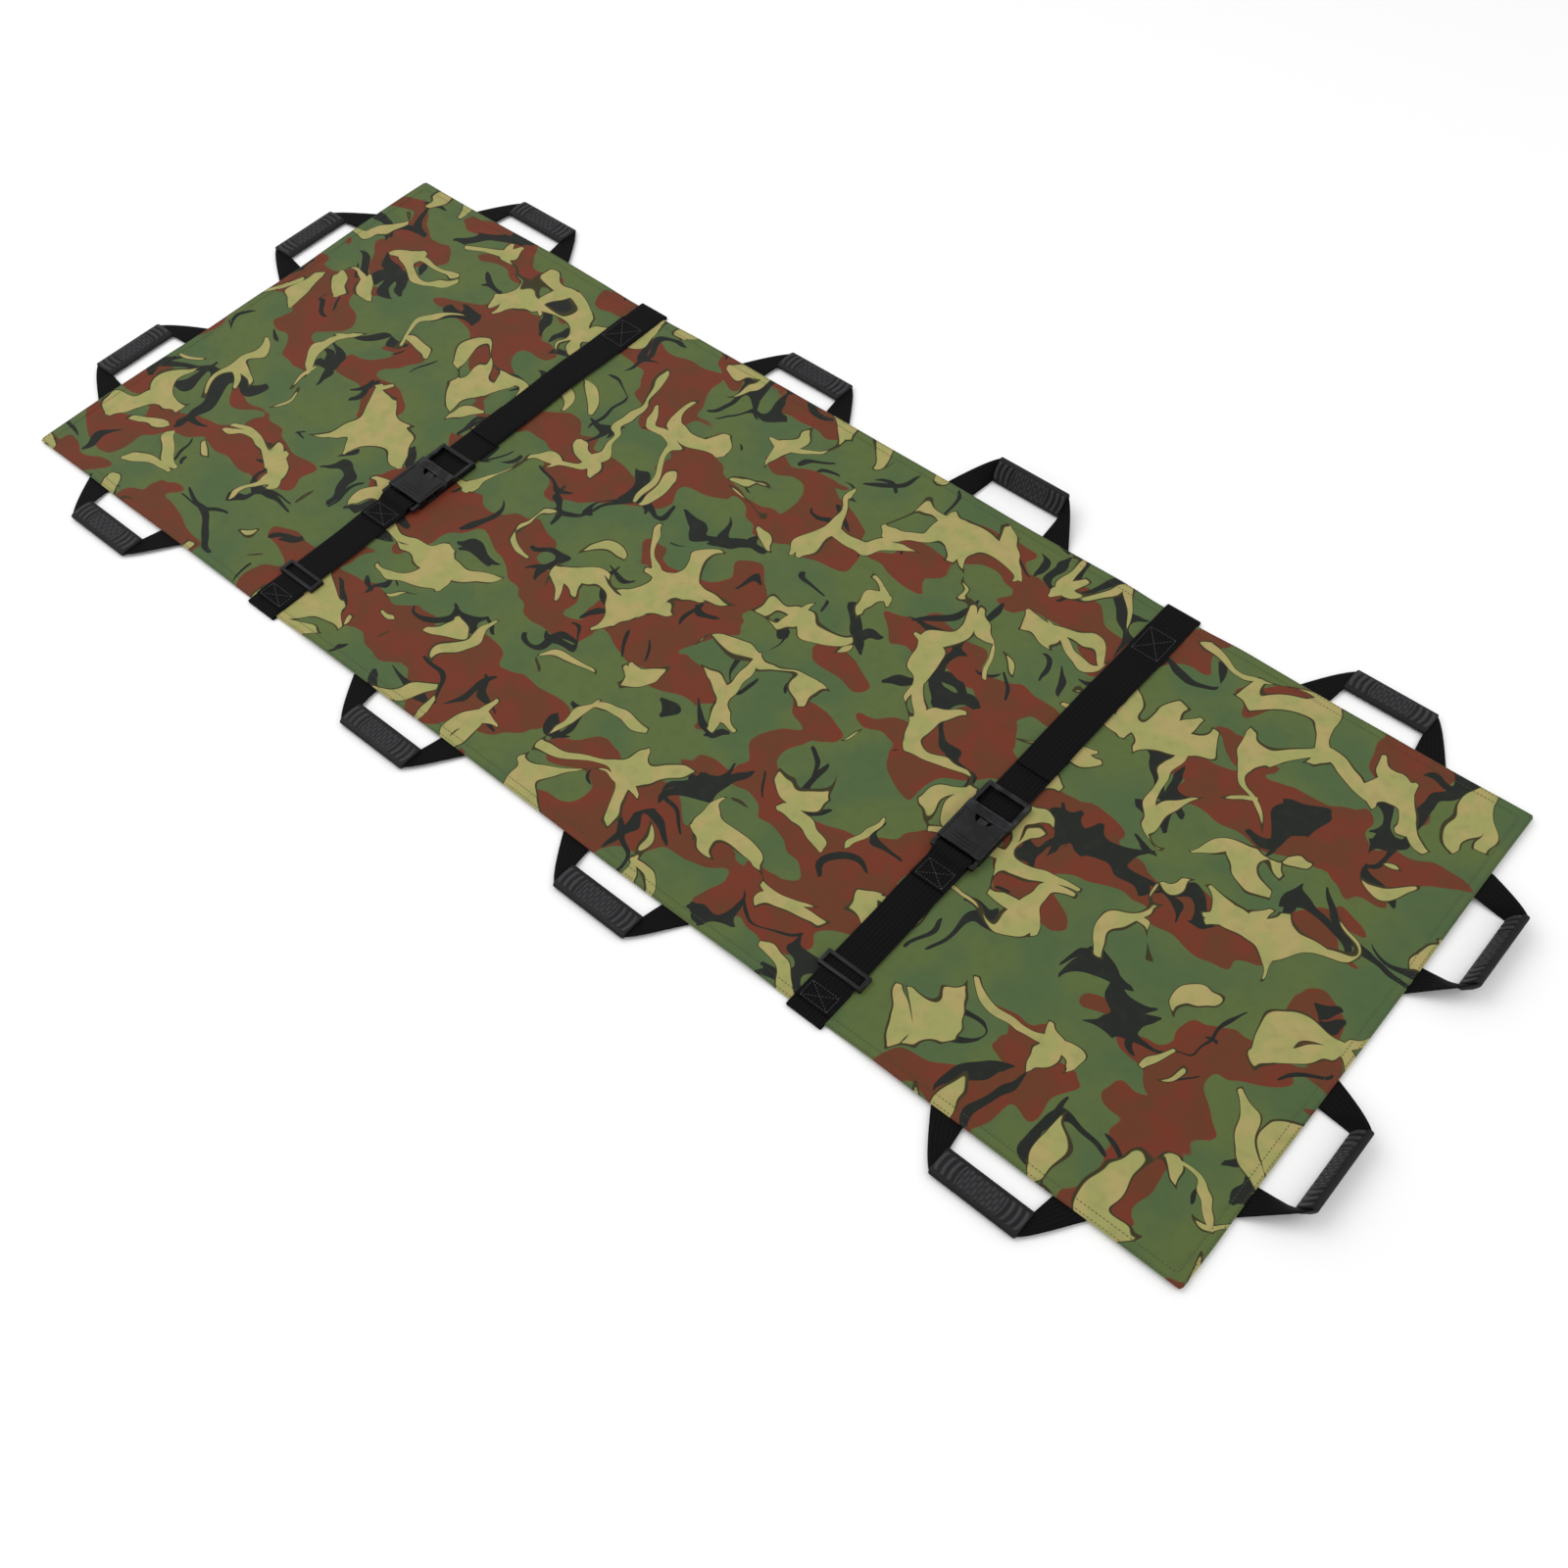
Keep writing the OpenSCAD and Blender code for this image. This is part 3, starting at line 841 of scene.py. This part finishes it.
for section in SECTIONS:
    a, b = SECTION_PANELS[section]
    top = cloth_sheet(section, SHEET_Z - CLOTH_T / 2, CLOTH_T, CAMO, "top_cloth_" + section)
    base = cloth_sheet(section, BASE_Z + CLOTH_T / 2, CLOTH_T, BACKING, "base_cloth_" + section)
    rim = hem(section)
    sewing = hem_stitches(section)
    bands = lengthwise_bands(section)
    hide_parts(a + "_top_cloth", b + "_top_cloth")
    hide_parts(a + "_base_cloth", b + "_base_cloth")
    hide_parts(a + "_hem", b + "_hem")
    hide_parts(a + "_load_webbing", b + "_load_webbing")
    for piece in (top, base, rim, sewing, bands):
        across_fold(piece)

for panel in PANELS:
    bands = crosswise_bands(panel)
    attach(bands, panel + "_panel")
    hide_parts(panel + "_load_webbing")


# ---------------------------------------------------------------- handles

WEB_T = 1.8 * MM
ROOT_IN = 20 * MM
# How many steps a leg takes along the sheet, and from the sheet's edge up to the grip.
ROOT_STEPS = 4
RISE_STEPS = 18

GRIP_HALF_L = 56 * MM
GRIP_HALF_W = 18.2 * MM
GRIP_HALF_T = 4.2 * MM
# Half the webbing's width where it enters a grip, in millimetres.
MOUTH_HALF_W = 17
# A grip that is taller than this in the CAD is rolled by this angle.
ROLLED_ABOVE = 20 * MM
ROLL = math.radians(60)


def edge_frame(handle):
    """(origin at the sheet's edge, outward direction, direction along the edge) of a handle."""
    joint = JOINTS["lift_" + handle]
    out = UP.cross(Vector(joint["axis"]))
    pos = Vector(joint["pos_m"])
    if abs(out.x) > 0.5:
        origin = Vector((math.copysign(HALF_L, out.x), pos.y, 0))
    else:
        origin = Vector((pos.x, math.copysign(HALF_W, out.y), 0))
    return origin, out, UP.cross(out)


def grip_frame(handle):
    """(centre of the grip, its roll) from the CAD grip's box."""
    lo, hi = (Vector(p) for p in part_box(handle + "_grip"))
    return (lo + hi) / 2, ROLL if hi.z - lo.z > ROLLED_ABOVE else 0.0


def bezier(points, t):
    """A point of a Bezier curve, by blending its control points until one is left."""
    while len(points) > 1:
        points = [a.lerp(b, t) for a, b in zip(points, points[1:])]
    return points[0]


def handle_loop(handle):
    """One strip of webbing: up one leg, through the grip and down the other leg."""
    origin, out, along = edge_frame(handle)
    centre, roll = grip_frame(handle)
    reach = (out * math.cos(roll) + UP * math.sin(roll)) * MOUTH_HALF_W * MM
    face = (UP * math.cos(roll) - out * math.sin(roll)).normalized()
    level = UP * (WEB_T / 2 + 0.1 * MM)

    def leg(side):
        inner0 = origin + along * side * (LEG_HALF_PITCH - LEG_W / 2) + level
        outer0 = origin + along * side * (LEG_HALF_PITCH + LEG_W / 2) + level
        mouth = centre + along * side * (GRIP_HALF_L - 2 * MM)
        inner1, outer1 = mouth - reach, mouth + reach
        stations = []
        slack = UP * ripple(outer0.x, outer0.y)
        for k in range(ROOT_STEPS + 1):
            back = slack - out * ROOT_IN * (1 - k / ROOT_STEPS)
            stations.append((outer0 + back, inner0 + back, UP))
        corner = outer0.lerp(outer1, 0.86) + along * side * 5 * MM
        bend = UP * 3.0 * MM
        for k in range(1, RISE_STEPS + 1):
            t = k / RISE_STEPS
            o = bezier([outer0 + slack, outer0.lerp(corner, 0.6) + bend, corner, outer1], t)
            i = bezier([inner0 + slack, inner0.lerp(inner1, 0.5) + bend * 0.6, inner1], t)
            stations.append((o, i, UP.lerp(face, smooth(t))))
        for push in (4, 12):
            step = along * -side * push * MM
            narrow = reach * 0.8
            stations.append((mouth + step + narrow, mouth + step - narrow, face))
        return stations

    return ribbon(handle + "_webbing_loop", leg(-1) + leg(1)[::-1], WEB_T, HANDLE_WEB, across=6)


# The relief's height. Its outermost arc is LAST_ARC_IN from a grip's end, the arcs are ARC_STEP apart, and
# they stop ARCS_FROM from the grip's middle. Nearer the middle are rows of blocks, BLOCK_STEP apart.
GRIP_RELIEF = 1.7 * MM
LAST_ARC_IN = 3.2 * MM
ARC_STEP = 8.6 * MM
ARCS_FROM = 27 * MM
BLOCK_STEP = 4.6 * MM


def grip_relief(s, a):
    """A grip's moulded relief, 0 to 1: bold arcs at both ends, small blocks between, inside a plain rim."""
    rim = smooth((0.70 - abs(a)) / 0.06)
    bow = abs(s) + 5.0 * MM * a * a
    if bow > ARCS_FROM:
        wave = math.cos(math.tau * (GRIP_HALF_L - LAST_ARC_IN - bow) / ARC_STEP)
        return smooth((wave + 0.25) / 0.5) * rim
    row = round(s / BLOCK_STEP)
    bar = smooth((math.cos(math.tau * s / BLOCK_STEP) + 0.6) / 0.4)
    block = smooth((math.cos(math.tau * (1.6 * a + 0.5 * (row % 2))) + 0.8) / 0.4)
    return (0.25 + 0.6 * bar * block) * rim * smooth((ARCS_FROM - bow) / (1.5 * MM))


def grip_mesh(handle):
    """A moulded grip: a soft-cornered bar with relief on both faces."""
    centre, roll = grip_frame(handle)
    out, along = edge_frame(handle)[1:]
    wide = out * math.cos(roll) + UP * math.sin(roll)
    face = UP * math.cos(roll) - out * math.sin(roll)
    rings = 150
    around = 72
    verts, uvs, faces, relief = [], [], [], []
    for i in range(rings + 1):
        s = GRIP_HALF_L * (2 * i / rings - 1)
        close = min(1.0, (GRIP_HALF_L - abs(s)) / (2.5 * MM))
        taper = 0.88 + 0.12 * math.sqrt(max(0.0, 1 - (1 - close) ** 2))
        for k in range(around):
            turn = math.tau * k / around
            c, n = math.cos(turn), math.sin(turn)
            a = math.copysign(abs(c) ** 0.75, c)
            b = math.copysign(min(1.0, (1 - abs(a) ** 7) ** 0.5), n)
            rise = grip_relief(s, a) if abs(n) > 0.3 else 0.0
            thick = GRIP_HALF_T * taper + rise * GRIP_RELIEF
            verts.append(centre + along * s + wide * a * GRIP_HALF_W * taper + face * b * thick)
            uvs.append((s, a * GRIP_HALF_W))
            relief.append(rise)
    for i in range(rings):
        for k in range(around):
            q = (k + 1) % around
            m, n = i * around, (i + 1) * around
            faces.append((m + k, n + k, n + q, m + q))
    faces.append(tuple(range(around)))
    faces.append(tuple(rings * around + k for k in range(around - 1, -1, -1)))
    obj = make_object(handle + "_moulded_grip", verts, faces, uvs, GRIP, crease=65)
    obj.data.attributes.new("relief", "FLOAT", "POINT").data.foreach_set("value", relief)
    return obj


for handle in HANDLES:
    loop = handle_loop(handle)
    grip = grip_mesh(handle)
    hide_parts(handle + "_webbing")
    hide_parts(handle + "_grip")
    origin, out, along = edge_frame(handle)
    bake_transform(loop)
    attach(grip, handle)


# ---------------------------------------------------------------- belts

BELT_T = 1.7 * MM
PATCH_T = 1.8 * MM
# A strap's second layer is this far above its first.
LAYER_UP = 1.9 * MM
# The left strap's tail and the whole right strap are this much narrower than the left strap.
NARROWER = 1.0 * MM
# Stitches on one layer, and on two, above the middle of the first.
STITCH_UP = 1.15 * MM
LAYER_STITCH_UP = 3.05 * MM
BOX_HALF_W = 19 * MM
# How far apart the points are on a flat strap, on its bend at its hinge, and on a path that wraps round an
# edge or a bar.
STRAP_STEP = 6 * MM
HINGE_STEP = 0.7 * MM
TURN_STEP = 3 * MM
# A strap's middle is this far above the underside of the CAD's strap.
RUN_UP = 0.9 * MM
# How far from its hinge a strap has turned all the way, on the left and on the right.
LEFT_TURN = 8 * MM
RIGHT_TURN = 4 * MM
# How far a strap lies over its anchor, from the anchor's inner edge.
LEFT_OVERLAP = 62 * MM
RIGHT_OVERLAP = 38 * MM
# The left strap's tail starts this far from the socket's mouth, and is this long.
TAIL_FROM = 96 * MM
TAIL_L = 60 * MM
# Where the sewn boxes start and end: on the two anchors, from the anchor's inner edge, and on the right
# strap's loop, from the socket's end.
LEFT_BOX = (12 * MM, 55 * MM)
RIGHT_BOX = (14 * MM, 36 * MM)
LOOP_BOX = (16 * MM, 42 * MM)
# Each moulded part, the body that it rides, and the rounding of its edges in millimetres.
MOULDED = (
    ("_socket", "_right_half", 1.1),
    ("_plug", "_plug", 0.8),
    ("_adjuster", "_adjuster", 0.6),
    ("_latch_arm_head_side", "_latch_head_side", 0.8),
    ("_latch_arm_foot_side", "_latch_foot_side", 0.8),
)


def softened(node, name, width, material):
    """A moulded part with rounded edges, from its CAD solid."""
    source = frame["nodes"][node]
    mesh = source.data.copy()
    mesh.name = name
    obj = bpy.data.objects.new(name, mesh)
    bpy.context.scene.collection.objects.link(obj)
    import_clean(mesh)
    mesh.materials.clear()
    mesh.materials.append(material)
    bevel = obj.modifiers.new("rounded_edges", "BEVEL")
    bevel.width = width
    bevel.segments = 3
    bevel.limit_method = "ANGLE"
    bevel.angle_limit = math.radians(35)
    bevel.harden_normals = True
    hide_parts(node)
    return obj


def import_clean(mesh):
    """Merges a CAD mesh's doubled points and flat facets, and makes it smooth."""
    work = bmesh.new()
    work.from_mesh(mesh)
    bmesh.ops.remove_doubles(work, verts=work.verts, dist=0.01 * MM)
    bmesh.ops.dissolve_limit(work, angle_limit=math.radians(1), verts=work.verts, edges=work.edges)
    work.to_mesh(mesh)
    work.free()
    mesh.polygons.foreach_set("use_smooth", [True] * len(mesh.polygons))


def box_stitch(x, y0, y1, half, z, parts):
    """A sewn box with a cross in it."""
    spots = ((x - half, y0), (x + half, y0), (x + half, y1), (x - half, y1))
    corners = [Vector((a, b, z)) for a, b in spots]
    rows = list(zip(corners, corners[1:] + corners[:1]))
    rows += [(corners[0], corners[2]), (corners[1], corners[3])]
    for a, b in rows:
        stitch_parts(lifted(spaced([a, b], 4 * MM)), UP, parts, stitch=2.6 * MM, gap=1.4 * MM)


def hinged_path(x, z, *ys):
    """Points along a strap through the given places, close together between the second and the third."""
    steps = [STRAP_STEP, HINGE_STEP, STRAP_STEP]
    out = [Vector((x, ys[0], z))]
    for a, b, step in zip(ys, ys[1:], steps):
        out += spaced([Vector((x, a, z)), Vector((x, b, z))], step)[1:]
    return out


def bead(a, b, up, radius, parts):
    """A raised moulded bead from a to b, half sunk in the face that it stands on."""
    side = (b - a).normalized().cross(up)
    verts, uvs = [], []
    ends = ((0.0, 0.3), (0.08, 0.85), (0.2, 1.0), (0.8, 1.0), (0.92, 0.85), (1.0, 0.3))
    ring = 10
    for t, r in ends:
        for k in range(ring):
            turn = math.tau * k / ring
            verts.append(a.lerp(b, t) + (side * math.cos(turn) + up * math.sin(turn)) * radius * r)
            uvs.append((t, k / ring))
    parts.append((verts, tube_faces(ring, len(ends) - 1), uvs))


def buckle_ridges(belt):
    """Beads on the socket's roof, the plug's base and the outer flanks of the thumb pads."""
    mouth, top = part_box(belt + "_socket")[1][1:]
    x = belt_x(belt)
    back = mouth - 50 * MM
    roof = []
    for k in range(4):
        y = back + 5 * MM * k
        bead(Vector((x - 20 * MM, y, top)), Vector((x + 20 * MM, y, top)), UP, 0.9 * MM, roof)
    for side in (-1, 1):
        flank = x + side * 26.5 * MM
        bead(Vector((flank, back, top)), Vector((flank, mouth - 3 * MM, top)), UP, 0.8 * MM, roof)
    base = []
    for k in range(3):
        y = mouth + (4 + 3.4 * k) * MM
        bead(Vector((x - 25 * MM, y, top)), Vector((x + 25 * MM, y, top)), UP, 0.7 * MM, base)
    made = [(belt + "_socket_beads", roof, "_right_half"), (belt + "_plug_beads", base, "_plug")]
    for side, name in ((-1, "_head_side"), (1, "_foot_side")):
        pad_lo, pad_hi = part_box(belt + "_latch_arm" + name)
        flank = pad_hi[0] if side > 0 else pad_lo[0]
        low = pad_lo[2] + 0.6 * MM
        high = pad_hi[2] - 0.6 * MM
        ribs = []
        for k in range(5):
            y = mouth - (23.5 + 2.1 * k) * MM
            bead(Vector((flank, y, low)), Vector((flank, y, high)), Vector((side, 0, 0)), 0.6 * MM, ribs)
        made.append((belt + "_pad_ribs" + name, ribs, "_latch" + name))
    for name, parts, body in made:
        obj = joined(name, parts, BUCKLE)
        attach(obj, belt + body)


for belt in BELTS:
    x = belt_x(belt)
    panel = JOINTS[belt + "_open_left"]["parent"]
    mouth = mouth_y(belt)
    web_lo, web_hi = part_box(belt + "_left_webbing")
    width = web_hi[0] - web_lo[0]
    run_z = web_lo[2] + RUN_UP
    upper_z = run_z + LAYER_UP
    side = Vector((1, 0, 0))
    left_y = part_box(belt + "_left_anchor")[0][1]
    right_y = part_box(belt + "_right_anchor")[1][1]

    # anchors: a patch on the sheet that wraps round its edge
    for name, sign, inner in (("left", 1, left_y), ("right", -1, right_y)):
        z = SHEET_Z + 1.1 * MM
        outside = sign * (HALF_W + 5.5 * MM)
        under_z = 1.2 * MM
        turn = [
            (inner, z), (sign * (HALF_W - 2 * MM), z), (outside, z - 0.4 * MM),
            (outside, under_z), (sign * (HALF_W - 1 * MM), under_z),
        ]
        path = round_path([Vector((x, y, h)) for y, h in turn], 3 * MM)
        stations = strap_stations(lifted(spaced(path, TURN_STEP)), side, width)
        patch = ribbon(belt + "_" + name + "_anchor_patch", stations, PATCH_T, BELT_WEB)
        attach(patch, panel)
        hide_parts(belt + "_" + name + "_anchor")

    # the half with the plug
    hinge_y = JOINTS[belt + "_open_left"]["pos_m"][1]
    turned_y = hinge_y - LEFT_TURN
    path = hinged_path(x, run_z, web_lo[1] + 1 * MM, turned_y, hinge_y, left_y + LEFT_OVERLAP)
    parts = []
    ribbon("", strap_stations(lifted(path), side, width), BELT_T, None, parts=parts)
    tail_y = mouth + TAIL_FROM
    tail = [Vector((x, tail_y, upper_z)), Vector((x, tail_y + TAIL_L, upper_z))]
    stations = strap_stations(lifted(spaced(tail, STRAP_STEP)), side, width - NARROWER)
    ribbon("", stations, BELT_T, None, parts=parts)
    strap = joined(belt + "_left_strap", parts, BELT_WEB)
    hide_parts(belt + "_left_webbing")
    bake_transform(strap)

    # the half with the socket, looped round the socket's bar
    bar_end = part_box(belt + "_socket")[0][1]
    over = run_z + 8.2 * MM
    hinge_y = JOINTS[belt + "_open_right"]["pos_m"][1]
    turned_y = hinge_y + RIGHT_TURN
    points = [
        (turned_y, run_z), (bar_end + 10 * MM, run_z), (bar_end + 10 * MM, over),
        (bar_end - 3 * MM, over), (bar_end - 12 * MM, upper_z), (bar_end - 45 * MM, upper_z),
    ]
    path = spaced(round_path([Vector((x, y, z)) for y, z in points], 2.0 * MM), TURN_STEP)
    path = hinged_path(x, run_z, right_y - RIGHT_OVERLAP, hinge_y, turned_y)[:-1] + path
    stations = strap_stations(lifted(path), side, width - NARROWER)
    strap = ribbon(belt + "_right_strap", stations, BELT_T, BELT_WEB)
    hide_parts(belt + "_right_webbing")
    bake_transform(strap)

    sewing = []
    one_layer_z = run_z + STITCH_UP
    box_stitch(x, left_y + LEFT_BOX[0], left_y + LEFT_BOX[1], BOX_HALF_W, one_layer_z, sewing)
    box_stitch(x, right_y - RIGHT_BOX[1], right_y - RIGHT_BOX[0], BOX_HALF_W, one_layer_z, sewing)
    thread = joined(belt + "_anchor_stitches", sewing, BLACK_THREAD)
    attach(thread, panel)

    tail_sewing = []
    two_layer_z = run_z + LAYER_STITCH_UP
    box_stitch(x, bar_end - LOOP_BOX[1], bar_end - LOOP_BOX[0], BOX_HALF_W, two_layer_z, tail_sewing)
    thread = joined(belt + "_loop_stitches", tail_sewing, BLACK_THREAD)
    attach(thread, belt + "_right_half")

    buckle_ridges(belt)
    for node, body, edge in MOULDED:
        part = softened(belt + node, belt + node + "_moulding", edge * MM, BUCKLE)
        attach(part, belt + body)


# ---------------------------------------------------------------- floor, light and camera


def floor():
    """The plain floor that the stretcher lies on."""
    size = 30.0
    p = Paint("plain_floor", 0.9)
    p.finish((0.92, 0.92, 0.92, 1.0))
    mesh = bpy.data.meshes.new("floor")
    corners = [(-size, -size, 0), (size, -size, 0), (size, size, 0), (-size, size, 0)]
    mesh.from_pydata(corners, [], [(0, 1, 2, 3)])
    mesh.materials.append(p.material)
    obj = bpy.data.objects.new("floor", mesh)
    bpy.context.scene.collection.objects.link(obj)


def area_light(name, place, size, power):
    """A square light that faces the middle of the floor."""
    light = bpy.data.lights.new(name, "AREA")
    light.shape = "SQUARE"
    light.size = size
    light.energy = power
    obj = bpy.data.objects.new(name, light)
    obj.location = place
    obj.rotation_euler = (Vector((0, 0, 0)) - Vector(place)).to_track_quat("-Z", "Y").to_euler()
    bpy.context.scene.collection.objects.link(obj)


def studio():
    """Even white surroundings, and two soft lights from above."""
    world = bpy.data.worlds.new("studio")
    world.use_nodes = True
    sky = world.node_tree.nodes["Background"]
    sky.inputs["Color"].default_value = (1, 1, 1, 1)
    sky.inputs["Strength"].default_value = 0.8
    bpy.context.scene.world = world
    area_light("key", place=(-1.4, -0.6, 3.2), size=2.6, power=42)
    area_light("fill", place=(2.6, 1.4, 2.8), size=3.0, power=26)


def camera():
    """The reference view: from the foot end on the patient's right, about 55 degrees down."""
    eye = Vector((1.0946, -1.0744, 1.7745))
    aim = Vector((0.2405, -0.1499, 0.0))
    roll = -2.54
    data = bpy.data.cameras.new("camera")
    data.lens = 41.6
    data.sensor_width = 36
    obj = bpy.data.objects.new("camera", data)
    look = (aim - eye).to_track_quat("-Z", "Y").to_matrix().to_4x4()
    obj.matrix_world = Matrix.Translation(eye) @ look @ Matrix.Rotation(math.radians(roll), 4, "Z")
    bpy.context.scene.collection.objects.link(obj)
    bpy.context.scene.camera = obj


floor()
studio()
camera()
bpy.context.scene.view_settings.view_transform = "Standard"
